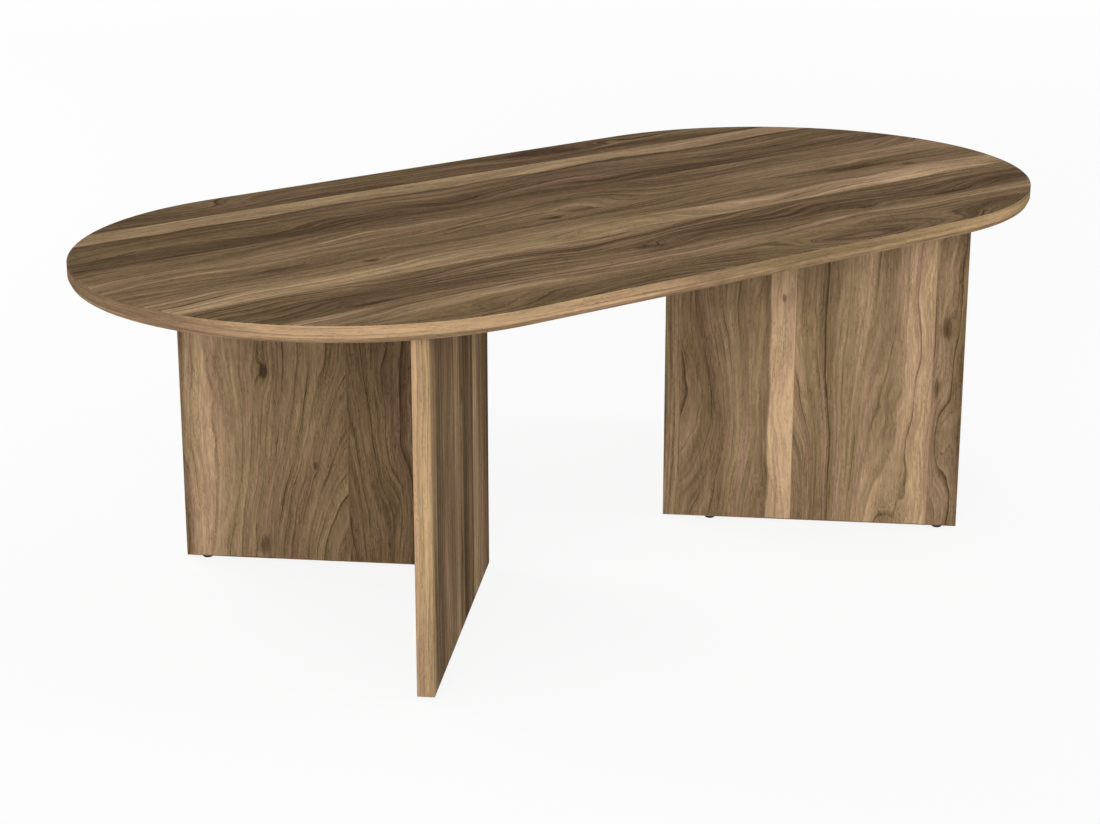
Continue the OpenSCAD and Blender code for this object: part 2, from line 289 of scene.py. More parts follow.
class Whorl(EffectGroup):
    """A knot or a closed arch, round which the growth rings bend.

    Bell is highest at the centre and falls off over Length along the grain and Width across it, as
    e to the power of minus the squared distance. Ragged, a noise round 0.5, makes its outline uneven,
    by up to the share Uneven. Half cuts the bell off at its centre line, as a joint does: 1 keeps the
    side of rising places across the grain, minus 1 the other, and 0 both. Heart is the dark middle
    of a knot.
    """

    name = "whorl"
    takes = {
        "Vector": (0.0, 0.0, 0.0),
        "Along": 0.0,
        "Across": 0.0,
        "Length": 0.05,
        "Width": 0.01,
        "Ragged": 0.5,
        "Uneven": 0.2,
        "Half": 0.0,
    }
    gives = ("Bell", "Heart")

    @classmethod
    def wire(cls, net: Net, given: Mapping[str, Value]) -> Dict[str, Feed]:
        """Joins the bell and the dark middle.

        Args:
            net: the group's tree.
            given: the group's inputs by name.

        Returns:
            What feeds each output, by name.
        """
        x, y, _ = net.split(given["Vector"])
        aside = y - given["Across"]
        along = (x - given["Along"]) / given["Length"]
        across = aside / given["Width"]
        reach = (along * along + across * across) * (1.0 + given["Ragged"].swing(given["Uneven"]))
        kept = net.math("GREATER_THAN", aside * given["Half"], -1e-7)
        bell = net.math("POWER", math.e, reach * -1.0) * kept
        return {"Bell": bell, "Heart": bell.remap(0.60, 0.95)}


class GrainFlow(EffectGroup):
    """The place of each point among the growth rings, as a distance across the grain in metres.

    It starts as the plain distance across the grain. A long slow wander makes arches and swirls, a
    middling one makes the rings wave, and a fine one makes them a little uneven.
    """

    name = "grain_flow"
    takes = {"Vector": (0.0, 0.0, 0.0), "Seed": 0.0, "Wander": 0.03, "Wave": 0.006, "Lift": 0.0}
    gives = ("Rings",)

    @classmethod
    def wire(cls, net: Net, given: Mapping[str, Value]) -> Dict[str, Feed]:
        """Joins the three wanders.

        Args:
            net: the group's tree.
            given: the group's inputs by name.

        Returns:
            What feeds each output, by name.
        """
        x, y, _ = net.split(given["Vector"])
        slow = net.grain(x, y, given["Seed"], along=5.5, across=13.0, detail=0.0)
        wave = net.grain(x, y, given["Seed"], along=12.0, across=26.0, detail=1.0)
        fine = net.grain(x, y, given["Seed"], along=50.0, across=170.0)
        rings = y + slow.swing(given["Wander"]) + wave.swing(given["Wave"]) + fine.swing(0.0007)
        return {"Rings": rings + given["Lift"]}


class WoodFigure(EffectGroup):
    """The figure of sawn wood: growth lines, streaks, fibres and pores.

    Tone comes out from 0, the darkest brown, to 1, the palest. Lines are dark on one side and fade on
    the other, as late wood does. Run is the number of streaks to a metre along the grain. Pores are
    short dashes along it.
    """

    name = "wood_figure"
    takes = {
        "Vector": (0.0, 0.0, 0.0),
        "Rings": 0.0,
        "Tone": 0.5,
        "Seed": 0.0,
        "Spacing": 0.011,
        "Lines": 1.0,
        "Streaks": 1.0,
        "Run": 5.5,
    }
    gives = ("Tone", "Pores", "Height")

    # Each set of growth lines: how crowded it is, how strong, and where it starts.
    line_sets: ClassVar[Tuple[Triple, ...]] = ((1.0, 1.0, 0.0), (2.7, 0.40, 7.3))
    # How far each part of the figure moves the tone.
    BROAD, STREAK, FIBRE, BAND, LINE, PORE = 0.28, 0.42, 0.25, 0.07, -0.50, -0.24

    @classmethod
    def wire(cls, net: Net, given: Mapping[str, Value]) -> Dict[str, Feed]:
        """Joins the lines, streaks, fibres and pores.

        Args:
            net: the group's tree.
            given: the group's inputs by name.

        Returns:
            What feeds each output, by name.
        """
        x, y, _ = net.split(given["Vector"])
        rings, seed = given["Rings"], given["Seed"]
        broad = net.grain(x, rings, seed, along=3.2, across=34.0)
        streak = net.grain(x, rings, seed, along=given["Run"], across=200.0, detail=5.0, roughness=0.64)
        fibre = net.grain(x, y, seed, along=64.0, across=520.0, detail=3.0, roughness=0.65)
        pace = net.grain(x, rings, seed, along=2.0, across=30.0, detail=0.0)
        turn = rings / given["Spacing"] + pace.swing(1.1) + seed
        line: Feed = 0.0
        band: Feed = 0.0
        for crowding, weight, start in cls.line_sets:
            place = turn * crowding + start
            saw, which = net.math("FRACT", place), net.math("FLOOR", place)
            lot = net.outs("ShaderNodeTexWhiteNoise", {"W": which}, noise_dimensions="1D")
            fade = net.grain(x, y, which, along=9.0, across=18.0, detail=1.0).remap(0.30, 0.58)
            crisp = saw.remap(0.84, 0.96) * saw.remap(1.0, 0.98)
            shade = crisp * 0.80 + net.math("POWER", saw, 2.2) * 0.34
            line = shade * lot["Value"].remap(-0.15, 0.90) * fade * weight + line
            band = net.split(lot["Color"])[0].swing(cls.BAND) * weight + band
        line, band = line * given["Lines"], band * given["Lines"]
        crowd = net.grain(x, rings, seed, along=22.0, across=150.0)
        dots = net.cells(x * 140.0, y * 1200.0, seed)["Distance"].remap(0.42, 0.20)
        pores = dots * crowd.remap(0.36, 0.62)
        streaks = (broad.swing(cls.BROAD) + streak.swing(cls.STREAK)) * given["Streaks"]
        tone = given["Tone"] + streaks + fibre.swing(cls.FIBRE) + band + line * cls.LINE + pores * cls.PORE
        return {"Tone": tone, "Pores": pores, "Height": pores * -1.0 + line * -0.2 + fibre * 0.25}


class Sapwood(EffectGroup):
    """A pale stripe of sapwood that runs along the grain.

    Mask is 1 inside the stripe. Its Straight side is a clean joint, and its Wavy side wanders by Wave.
    Rind is the dark line outside the wavy side. The stripe may lie either way round.
    """

    name = "sapwood"
    takes = {"Vector": (0.0, 0.0, 0.0), "Straight": 0.0, "Wavy": 0.02, "Wave": 0.006, "Seed": 0.0}
    gives = ("Mask", "Rind")

    @classmethod
    def wire(cls, net: Net, given: Mapping[str, Value]) -> Dict[str, Feed]:
        """Joins both sides of the stripe.

        Args:
            net: the group's tree.
            given: the group's inputs by name.

        Returns:
            What feeds each output, by name.
        """
        x, y, _ = net.split(given["Vector"])
        straight, wavy, seed = given["Straight"], given["Wavy"], given["Seed"]
        sway = net.noise(net.point(x * 7.5, seed), 1.0)
        ragged = net.grain(x, y, seed, along=60.0, across=300.0)
        edge = wavy + sway.swing(given["Wave"]) + ragged.swing(0.0012)
        side = net.math("SIGN", wavy - straight)
        past_joint, past_edge = (y - straight) * side, (y - edge) * side
        return {
            "Mask": past_joint.remap(-0.0003, 0.0003) * past_edge.remap(0.0014, -0.0026),
            "Rind": past_edge.remap(-0.001, 0.002) * past_edge.remap(0.011, 0.002),
        }


class HueDrift(EffectGroup):
    """A slow drift of the wood's colour, from 0, olive, to 1, reddish."""

    name = "hue_drift"
    takes = {"Vector": (0.0, 0.0, 0.0), "Rings": 0.0, "Seed": 0.0}
    gives = ("Drift",)

    @classmethod
    def wire(cls, net: Net, given: Mapping[str, Value]) -> Dict[str, Feed]:
        """Joins the drift.

        Args:
            net: the group's tree.
            given: the group's inputs by name.

        Returns:
            What feeds each output, by name.
        """
        x = net.split(given["Vector"])[0]
        drift = net.grain(x, given["Rings"], given["Seed"], along=3.0, across=55.0, detail=3.0)
        return {"Drift": drift.remap(0.32, 0.68)}


class EdgeWearAndHighlight(EffectGroup):
    """Marks how close a point lies to the edge of a flat sheet, given its distance from that edge.

    Seam is the thin dark line where the sheet is trimmed. Rub is the faint, broken paler line beside it:
    wear that hands and cloths leave, and partly a painted highlight along the edge.
    """

    name = "edge_wear"
    takes = {"Vector": (0.0, 0.0, 0.0), "Inset": 1.0, "Seam": 0.0005, "Rub": 0.003}
    gives = ("Seam", "Rub")

    @classmethod
    def wire(cls, net: Net, given: Mapping[str, Value]) -> Dict[str, Feed]:
        """Joins the seam and the rub, whose paler line is partly painted highlight.

        Args:
            net: the group's tree.
            given: the group's inputs by name.

        Returns:
            What feeds each output, by name.
        """
        patch = net.noise(given["Vector"], 35.0, 3.0).remap(0.42, 0.66)
        seam = given["Inset"].remap(given["Seam"], given["Seam"] * 0.3)
        return {"Seam": seam, "Rub": given["Inset"].remap(given["Rub"], 0.0) * patch}


RIM_UV = "rim"
MATT = 0.002
GRAIN_STRENGTH = 0.35
GRAIN_DEPTH = 0.00012
TINTS: Tuple[Stop, ...] = (
    (0.0, (0.948, 0.968, 0.885, 1.0)),
    (0.5, (0.970, 0.965, 0.945, 1.0)),
    (1.0, (0.984, 0.938, 0.975, 1.0)),
)


@dataclass(frozen=True)
class Palette:
    """Five browns of one wood, from its darkest to its palest, as screen colours."""

    deep: Colour
    dark: Colour
    middle: Colour
    tan: Colour
    pale: Colour

    def coat(self, net: Net, figure: Mapping[str, Value], tone: Value, rough: Value) -> Dict[str, Feed]:
        """Works out a matt wooden surface in these browns.

        Args:
            net: the material's tree.
            figure: the wood's figure, as Growth.figure gives it.
            tone: the tone that shows, from 0 to 1.
            rough: its roughness.

        Returns:
            What feeds the Principled BSDF, by input.
        """
        shades = (self.deep, self.dark, self.middle, self.tan, self.pale)
        browns = net.ramp(tone, [(i / (len(shades) - 1), linear(shade)) for i, shade in enumerate(shades)])
        return {
            "Base Color": net.blend(1.0, browns, net.ramp(figure["Drift"], TINTS), "MULTIPLY"),
            "Specular IOR Level": MATT,
            "Roughness": rough,
            "Normal": net.bump(figure["Height"], GRAIN_STRENGTH, GRAIN_DEPTH),
        }


WALNUT = Palette((66, 50, 36), (95, 77, 56), (124, 102, 78), (154, 129, 101), (192, 164, 127))
HONEY = Palette((102, 83, 62), (126, 104, 79), (152, 127, 96), (177, 147, 110), (197, 165, 123))
BEECH = Palette((150, 116, 80), (176, 142, 102), (198, 165, 124), (214, 184, 144), (226, 200, 164))


@dataclass(frozen=True)
class Growth:
    """How a wood grew, which sets its figure.

    Attributes:
        wander: how far its rings wander, in metres.
        wave: how far they wave on the way, in metres.
        spacing: the distance between its growth lines, in metres.
        streaks: how strong the streaks between them are.
        run: how many streaks there are to a metre along the grain.
    """

    wander: float = 0.006
    wave: float = 0.00132
    spacing: float = 0.006
    streaks: float = 1.1
    run: float = 5.5

    def figure(
        self, net: Net, here: Value, seed: Feed, tone: Feed, lines: Feed, lift: Feed = 0.0
    ) -> Dict[str, Value]:
        """Places the groups that make the wood's figure.

        Args:
            net: the material's tree.
            here: the pattern's coordinates.
            seed: what sets the figure apart from others.
            tone: its tone before the figure, from 0 to 1.
            lines: how strong its growth lines are.
            lift: how far knots and arches bend its rings, in metres.

        Returns:
            Its Tone, Pores, Height and Drift.
        """
        flow = {"Vector": here, "Seed": seed, "Wander": self.wander, "Wave": self.wave, "Lift": lift}
        grown = {"Vector": here, "Seed": seed, "Rings": GrainFlow.use(net, flow)["Rings"]}
        look = {"Spacing": self.spacing, "Streaks": self.streaks, "Run": self.run}
        figure = WoodFigure.use(net, {**grown, **look, "Tone": tone, "Lines": lines})
        return {**figure, **HueDrift.use(net, grown)}


@dataclass(frozen=True)
class GrainFrame:
    """How a pattern lies on a board: its X along the grain, its Y across it, its Z into the board.

    The three directions are given in the table's frame, and shift moves the pattern's origin.
    """

    along: Triple
    across: Triple
    inward: Triple
    shift: Triple = (0.0, 0.0, 0.0)

    def place(self, net: Net) -> Value:
        """Places the pattern on the board, by a Mapping node on the object's own coordinates.

        Args:
            net: the material's tree.

        Returns:
            The pattern's coordinates.
        """
        turn = tuple(Matrix((self.along, self.across, self.inward)).to_euler("XYZ"))
        feeds = {"Vector": net.here(), "Location": self.shift, "Rotation": turn}
        return net.out("ShaderNodeMapping", feeds)

    def foot(self) -> "GrainFrame":
        """Gives how the pattern lies on the foot of this panel, with its grain along the panel."""
        return GrainFrame(self.across, self.inward, self.along)


class Side(Enum):
    """The two legs. The right one is the left one turned half round."""

    LEFT = -1
    RIGHT = 1


class Arm(Enum):
    """The two panels of a leg."""

    SHORT = "short"
    LONG = "long"


CORNER_GAP = 0.130
UP = (0.0, 0.0, 1.0)


def panel_grain(side: Side, arm: Arm) -> GrainFrame:
    """Works out how the pattern lies on a leg panel.

    The grain stands upright. Across it, the pattern measures along the panel from the leg's corner.

    Args:
        side: which leg.
        arm: which of its panels.

    Returns:
        The pattern's frame.
    """
    s = side.value * HALF_ROOT
    corner = -CORNER_GAP * HALF_ROOT
    if arm is Arm.SHORT:
        return GrainFrame(UP, (s, -s, 0.0), (s, s, 0.0), (0.0, corner, corner))
    return GrainFrame(UP, (s, s, 0.0), (-s, s, 0.0), (0.0, corner, -corner))


FLAT_GRAIN = GrainFrame((1.0, 0.0, 0.0), (0.0, 1.0, 0.0), UP)
UNDER_GRAIN = GrainFrame((-1.0, 0.0, 0.0), (0.0, -1.0, 0.0), UP)
UPRIGHT_GRAIN = GrainFrame(UP, (1.0, 0.0, 0.0), (0.0, 1.0, 0.0))


@dataclass(frozen=True)
class Strip:
    """One strip of the veneer pattern across a board.

    Attributes:
        tones: the tone at each place across the strip, in millimetres and in rising order.
        lines: how strong its growth lines are.
        seed: what sets its figure apart from its neighbour's.
    """

    tones: Tones
    lines: float
    seed: float


@dataclass(frozen=True)
class Eye:
    """A knot or an arch in the pattern, in millimetres.

    Attributes:
        along: its place along the grain.
        across: its place across the grain.
        length: its reach along the grain.
        width: its reach across the grain.
        lift: how far it bends the rings.
        heart: how dark its middle is, from 0 to 1.
        shade: how much paler, or with a minus darker, the wood round it is.
        half: 1 or minus 1 where a joint cuts it off at its centre line, for the side that is kept.
    """

    along: float
    across: float
    length: float
    width: float
    lift: float
    heart: float = 0.0
    shade: float = 0.0
    half: int = 0

    def uneven(self) -> float:
        """Gives how uneven its outline is: less where it bends the rings far, so that they stay whole."""
        return min(0.6, 8 / max(abs(self.lift), 1.0))


@dataclass(frozen=True)
class Stripe:
    """A pale stripe of sapwood.

    Attributes:
        straight: where its clean side lies across the board, in millimetres.
        wavy: where its wavy side lies, in millimetres.
        wave: how far that side waves, in millimetres.
        tone: its tone.
    """

    straight: float
    wavy: float
    wave: float
    tone: float


@dataclass(frozen=True)
class Veneer:
    """The pattern of one board's face.

    Attributes:
        strips: the strips across it, in rising order.
        eyes: its knots and arches, each as the values of an Eye.
        growth: how its wood grew.
        seed: what sets it apart from the other boards.
        stripe: its sapwood, if it has any.
    """

    strips: Tuple[Strip, ...]
    eyes: Tuple[Tuple[float, ...], ...]
    growth: Growth
    seed: float
    stripe: Optional[Stripe] = None

    def reach(self) -> Pair:
        """Gives where the strips start and end, in metres."""
        places = [place * MM for strip in self.strips for place in strip.tones]
        return places[0], places[-1]

    def stops(self, joint: float = 0.0002) -> List[Stop]:
        """Works out the ramp that holds each strip's tone in red, its lines in green and its seed in blue.

        Args:
            joint: half the gap between two strips' stops, in metres.

        Returns:
            The ramp's stops.
        """
        low, high = self.reach()
        found: List[Stop] = []
        for strip in self.strips:
            last = len(strip.tones) - 1
            for i, (place, tone) in enumerate(strip.tones.items()):
                inset = joint if i == 0 else -joint if i == last else 0.0
                share = (place * MM + inset - low) / (high - low)
                found.append((min(max(share, 0.0), 1.0), (tone, strip.lines / 2, strip.seed, 1.0)))
        return found


class Finish:
    """A surface finish. A subclass says what it is called and what feeds its shader."""

    name: str
    made: ClassVar[Dict[str, bpy.types.Material]] = {}

    def feeds(self, net: Net) -> Dict[str, Feed]:
        """Joins the finish's nodes. Each finish has its own way.

        Args:
            net: the material's tree.

        Returns:
            What feeds the Principled BSDF, by input.
        """
        raise NotImplementedError

    def surface(self, net: Net, shader: Value) -> Value:
        """Gives what shows: the Principled BSDF, or a mix that holds it."""
        return shader

    def material(self) -> bpy.types.Material:
        """Builds the finish's material the first time.

        Returns:
            The material.
        """
        if self.name not in Finish.made:
            material = bpy.data.materials.new("finish_" + self.name)
            material.use_nodes = True
            material.node_tree.nodes.clear()
            net = Net(material.node_tree)
            shader = net.out("ShaderNodeBsdfPrincipled", self.feeds(net))
            net.place("ShaderNodeOutputMaterial", {"Surface": self.surface(net, shader)})
            Finish.made[self.name] = material
        return Finish.made[self.name]


@dataclass(frozen=True)
class WalnutLaminate(Finish):
    """The walnut laminate of a board's face.

    Attributes:
        name: the material's name.
        veneer: the face's pattern.
        grain: how the pattern lies on the board.
        span: its lowest and highest place along the grain, and those across it.
        radius: the radius of its ends along the grain, where it is a racetrack.
    """

    name: str
    veneer: Veneer
    grain: GrainFrame
    span: Tuple[float, float, float, float]
    radius: float = 0.0

    # How much paler, or with a minus darker, each mark makes the wood. The rub's paler line is partly painted
    # highlight.
    RIND, HEART, SEAM, RUB = -0.16, -0.45, -0.22, 0.06
    # How rough the laminate is, and what its pores and rubbed edges add.
    ROUGH, PORE_ROUGH, RUB_ROUGH = 0.58, 0.20, -0.08
    SAP_LINES = 0.35
    SEED_SPREAD = 40.0

    def inset(self, net: Net, here: Value) -> Value:
        """Gives each point's distance from the sheet's edge.

        Args:
            net: the material's tree.
            here: the pattern's coordinates.

        Returns:
            The distance in metres, rising inwards.
        """
        x, y, _ = net.split(here)
        left, right, low, high = self.span
        if self.radius:
            past = net.math("MAXIMUM", net.math("ABSOLUTE", x) - (right - self.radius), 0.0)
            return self.radius - net.length(net.point(past, y))
        ends = net.math("MINIMUM", x - left, right - x)
        return net.math("MINIMUM", ends, net.math("MINIMUM", y - low, high - y))

    def feeds(self, net: Net) -> Dict[str, Feed]:
        """Joins the veneer's strips, sapwood, knots, figure and wear.

        Args:
            net: the material's tree.

        Returns:
            What feeds the Principled BSDF, by input.
        """
        veneer, here = self.veneer, self.grain.place(net)
        x, y, z = net.split(here)
        strips = net.ramp(y.remap(*veneer.reach(), smooth=False), veneer.stops())
        tone, lines, key = net.split(strips)
        seed = key * self.SEED_SPREAD + veneer.seed
        lines = lines * 2.0
        if veneer.stripe is not None:
            stripe = veneer.stripe
            sides = {"Straight": stripe.straight * MM, "Wavy": stripe.wavy * MM, "Wave": stripe.wave * MM}
            sap = Sapwood.use(net, {"Vector": here, "Seed": veneer.seed, **sides})
            tone = sap["Mask"].lean(tone + sap["Rind"] * self.RIND, stripe.tone)
            lines = sap["Mask"].lean(lines, self.SAP_LINES)
        ragged = net.grain(x, y, z, along=24.0, across=44.0, detail=1.0)
        lift: Feed = 0.0
        for eye in (Eye(*values) for values in veneer.eyes):
            whorl = Whorl.use(net, {
                "Vector": here,
                "Along": eye.along * MM,
                "Across": eye.across * MM,
                "Length": eye.length * MM,
                "Width": eye.width * MM,
                "Ragged": ragged,
                "Uneven": eye.uneven(),
                "Half": float(eye.half),
            })
            lift = whorl["Bell"] * (eye.lift * MM) + lift
            tone = tone + whorl["Bell"] * eye.shade + whorl["Heart"] * (self.HEART * eye.heart)
        figure = veneer.growth.figure(net, here, seed, tone, lines, lift)
        wear_and_highlight = EdgeWearAndHighlight.use(net, {"Vector": here, "Inset": self.inset(net, here)})
        # The rub's paler line along the sheet's edge is wear and partly a painted highlight.
        shown = figure["Tone"] + wear_and_highlight["Seam"] * self.SEAM + wear_and_highlight["Rub"] * self.RUB
        rough = self.ROUGH + figure["Pores"] * self.PORE_ROUGH + wear_and_highlight["Rub"] * self.RUB_ROUGH
        return WALNUT.coat(net, figure, shown, rough)


@dataclass(frozen=True)
class SolidWood(Finish):
    """Plain wood or wood-patterned band, with its grain along the piece.

    Attributes:
        name: the material's name.
        palette: its five browns.
        grain: how the pattern lies, or None for a piece that carries its own UV map.
        tones: the tone at each place along the grain, in metres and in rising order.
        seed: what sets it apart from the other pieces.
        growth: how it grew.
        lines: how strong its growth lines are.
        foot: how high its lower edge reaches, in metres, and the darker tone there, which is painted shade on
            a bevel that faces down.
    """

    name: str
    palette: Palette
    grain: Optional[GrainFrame]
    tones: Tones
    seed: float
    growth: Growth = Growth()
    lines: float = 0.9
    foot: Pair = (0.0, 0.0)

    def feeds(self, net: Net) -> Dict[str, Feed]:
        """Joins the tone along the piece, the painted shade at its foot and the wood's figure.

        Args:
            net: the material's tree.

        Returns:
            What feeds the Principled BSDF, by input.
        """
        here = self.grain.place(net) if self.grain else net.out("ShaderNodeUVMap", uv_map=RIM_UV)
        x, y, _ = net.split(here)
        low, high = min(self.tones), max(self.tones)
        span = high - low
        stops = [((place - low) / span, (tone, tone, tone, 1.0)) for place, tone in self.tones.items()]
        tone = net.ramp(x.remap(low, high, smooth=False), stops)
        height, painted_shade_tone = self.foot
        # Painted shade: below the foot's height the tone turns to the foot's darker tone, as on a bevel that
        # faces down, away from the light.
        if height:
            tone = y.remap(height + 0.0003, height - 0.0003).lean(tone, painted_shade_tone)
        figure = self.growth.figure(net, here, self.seed, tone, self.lines)
        return self.palette.coat(net, figure, figure["Tone"], 0.60 + figure["Pores"] * 0.2)


@dataclass(frozen=True)
class Chipboard(Finish):
    """The pressed flakes of a board's core, which show inside the bores."""

    name: str = "chipboard"
    light: Colour = (196, 164, 118)
    dark: Colour = (128, 96, 62)

    def feeds(self, net: Net) -> Dict[str, Feed]:
        """Joins the flakes, each with its own brown, and the dust between them.

        Args:
            net: the material's tree.

        Returns:
            What feeds the Principled BSDF, by input.
        """
        here = net.here()
        x, y, z = net.split(here)
        flake = net.split(net.cells(x * 420.0, y * 420.0, z * 900.0)["Color"])[0]
        dust = net.noise(here, 2600.0, 3.0)
        share = flake * 0.75 + dust * 0.35 + -0.05
        return {
            "Base Color": net.ramp(share, ((0.0, linear(self.dark)), (1.0, linear(self.light)))),
            "Roughness": dust.remap(0.2, 0.8, 0.75, 0.95),
            "Normal": net.bump(share, 0.6, 0.0003),
        }


@dataclass(frozen=True)
class CastMetal(Finish):
    """Plated metal: die-cast for the cams, drawn steel for the bolts and nails.

    Attributes:
        name: the material's name.
        colour: the plating's colour.
        rough: how rough it is at its smoothest.
        grain: how many specks of the casting there are to a metre.
        depth: how deep they are, in metres.
    """

    name: str
    colour: Colour
    rough: float
    grain: float
    depth: float

    def feeds(self, net: Net) -> Dict[str, Feed]:
        """Joins the plating's cloudiness and the specks of the casting.

        Args:
            net: the material's tree.

        Returns:
            What feeds the Principled BSDF, by input.
        """
        here = net.here()
        cloud = net.noise(here, 240.0, 3.0)
        speck = net.noise(here, self.grain, 3.0)
        dull = linear(tuple(int(c * 0.78) for c in self.colour))
        return {
            "Base Color": net.blend(cloud.remap(0.3, 0.7), dull, linear(self.colour)),
            "Metallic": 1.0,
            "Roughness": speck.remap(0.3, 0.7, self.rough, self.rough + 0.2),
            "Normal": net.bump(speck, 0.4, self.depth),
        }


NICKEL = CastMetal("cam_nickel", (188, 184, 176), 0.30, 2600.0, 0.00004)
ZINC = CastMetal("bolt_zinc", (178, 180, 184), 0.24, 1400.0, 0.00002)


@dataclass(frozen=True)
class MouldedPlastic(Finish):
    """The black moulded plastic of the glides, dusty where it nears the floor.

    Attributes:
        name: the material's name.
        colour: the clean plastic.
        dusty: the plastic with dust on it.
        dust_height: how far up from the floor the dust reaches, in metres.
    """

    name: str = "glide_plastic"
    colour: Colour = (10, 10, 10)
    dusty: Colour = (24, 22, 20)
    dust_height: float = 0.0016

    def feeds(self, net: Net) -> Dict[str, Feed]:
        """Joins the moulded grain and the dust.

        Args:
            net: the material's tree.

        Returns:
            What feeds the Principled BSDF, by input.
        """
        here = net.here()
        grain = net.noise(here, 3200.0)
        patch = net.noise(here, 500.0, 3.0).remap(0.35, 0.7)
        dust = net.split(here)[2].remap(self.dust_height, 0.0) * patch
        return {
            "Base Color": net.blend(dust, linear(self.colour), linear(self.dusty)),
            "Specular IOR Level": 0.15,
            "Roughness": grain.remap(0.3, 0.7, 0.40, 0.52) + dust * 0.3,
            "Normal": net.bump(grain, 0.3, 0.00005),
        }


@dataclass(frozen=True)
class StudioFloor(Finish):
    """The pale floor, which keeps the table's shadow.

    Camera, mirror and glass rays see it lifted towards plain white, and far off it is quite white, so
    that it joins the backdrop. From below it is clear, so that the table's underside can be seen.

    Attributes:
        name: the material's name.
        colour: the floor's own colour.
        lift: how far it is lifted near the table, from 0 to 1.
        near: how far from the table the lift starts to grow, in metres.
        far: how far off the floor is white, in metres.
    """

    name: str = "studio_floor"
    colour: Colour = (222, 222, 222)
    lift: float = 0.88
    near: float = 1.0
    far: float = 6.0

    def feeds(self, net: Net) -> Dict[str, Feed]:
        """Gives the plain surface."""
        return {"Base Color": linear(self.colour), "Roughness": 0.9, "Specular IOR Level": 0.1}

    def surface(self, net: Net, shader: Value) -> Value:
        """Joins the floor's lift and its clear underside.

        Args:
            net: the material's tree.
            shader: the plain surface.

        Returns:
            The floor as it shows.
        """
        seen = seen_directly(net) * net.length(net.here()).remap(self.near, self.far, self.lift, 1.0)
        white = net.out("ShaderNodeEmission", {"Color": WHITE, "Strength": 1.0})
        lifted = net.out("ShaderNodeMixShader", {0: seen, 1: shader, 2: white})
        below = net.out("ShaderNodeNewGeometry", key="Backfacing")
        clear = net.out("ShaderNodeBsdfTransparent")
        return net.out("ShaderNodeMixShader", {0: below, 1: lifted, 2: clear})


def seen_directly(net: Net) -> Value:
    """Gives 1 for the rays that show the background: from the camera, off gloss and through glass.

    Args:
        net: the tree of the material or of the world.

    Returns:
        1 for such a ray, otherwise 0.
    """
    path = net.outs("ShaderNodeLightPath")
    rays = path["Is Camera Ray"] + path["Is Glossy Ray"] + path["Is Transmission Ray"]
    return net.math("MINIMUM", rays, 1.0)


TOP_VENEER = Veneer(
    strips=(
        Strip({-300: 0.43, -250: 0.43, -228: 0.61, -206: 0.60}, 1.0, 0.11),
        Strip({-206: 0.49, -170: 0.33, -150: 0.30, -130: 0.45, -116: 0.47}, 1.4, 0.37),
        Strip({-116: 0.76, -90: 0.70, -30: 0.44, -8: 0.43}, 0.9, 0.59),
        Strip({-8: 0.51, 10: 0.61, 50: 0.44, 83: 0.44}, 1.0, 0.73),
        Strip({83: 0.27, 110: 0.32, 150: 0.45, 170: 0.37, 228: 0.33}, 1.1, 0.23),
        Strip({228: 0.29, 250: 0.34, 300: 0.34}, 1.2, 0.47),
    ),
    eyes=(
        (-84, 213, 14, 4, 3, 0.7), (-408, -28, 70, 13, 16, 0.3, -0.18), (-316, -52, 18, 7, 12, 0.7, -0.10),
        (-110, -16, 100, 9, 8, 0.0, -0.08), (-48, -17, 16, 6, 8, 0.6), (400, -28, 70, 13, 16, 0.3, -0.18),
        (472, -52, 18, 7, 12, 0.7, -0.10), (0, -78, 220, 18, -16, 0.0, 0.06),
        (-408, -193, 50, 7, 8, 0.5, -0.06), (-48, -184, 40, 10, 14, 0.5, -0.06), (264, -190, 26, 10, 14, 0.3),
        (400, -192, 52, 9, 10, 0.5, -0.06), (200, -296, 210, 40, 62), (-310, -286, 130, 22, 20, 0.0, -0.12),
        (-90, 116, 60, 22, 30), (-330, 112, 200, 20, 12, 0.0, -0.07), (430, 106, 150, 18, 10, 0.0, -0.07),
        (20, 44, 90, 34, -44, 0.0, -0.06), (160, 40, 110, 34, 24, 0.0, -0.08),
        (430, 44, 120, 22, 22, 0.0, 0.05), (208, 262, 110, 20, 30, 0.0, -0.08), (-350, 262, 90, 24, 30),
    ),
    growth=Growth(0.026, 0.006, 0.0095, 1.12),
    seed=3.1,
    stripe=Stripe(228, 187, 17, 0.69),
)

INNER_SHORT_VENEER = Veneer(
    strips=(
        Strip({0: 0.40, 120: 0.34, 157: 0.31}, 0.8, 0.31),
        Strip({157: 0.45, 200: 0.54, 241: 0.48}, 0.95, 0.67),
        # The last millimetre, from 347 to 348, is painted shade: a dark line where the end band at the
        # panel's end turns away from the light.
        Strip({241: 0.50, 280: 0.55, 298: 0.65, 316: 0.77, 326: 0.75, 338: 0.61, 341: 0.50, 343: 0.41,
               346.6: 0.40, 347: 0.05, 348: 0.05}, 0.6, 0.13),
    ),
    eyes=(
        (228, 251, 17, 9, 13, 0.8, -0.08), (264, 252, 38, 8, 0, 0.0, -0.12), (118, 194, 9, 5, 8, 0.5),
        (-20, 157, 190, 100, -115, 0.0, 0.0, 1), (20, 256, 22, 10, 12, 0.6, -0.07),
        (0, 157, 190, 60, 62, 0.0, 0.0, -1), (70, 100, 40, 16, 14, 0.0, -0.04), (110, 290, 120, 18, 14),
    ),
    growth=Growth(0.018, 0.0080, 0.0175, 0.80, 16.0),
    seed=11.7,
)

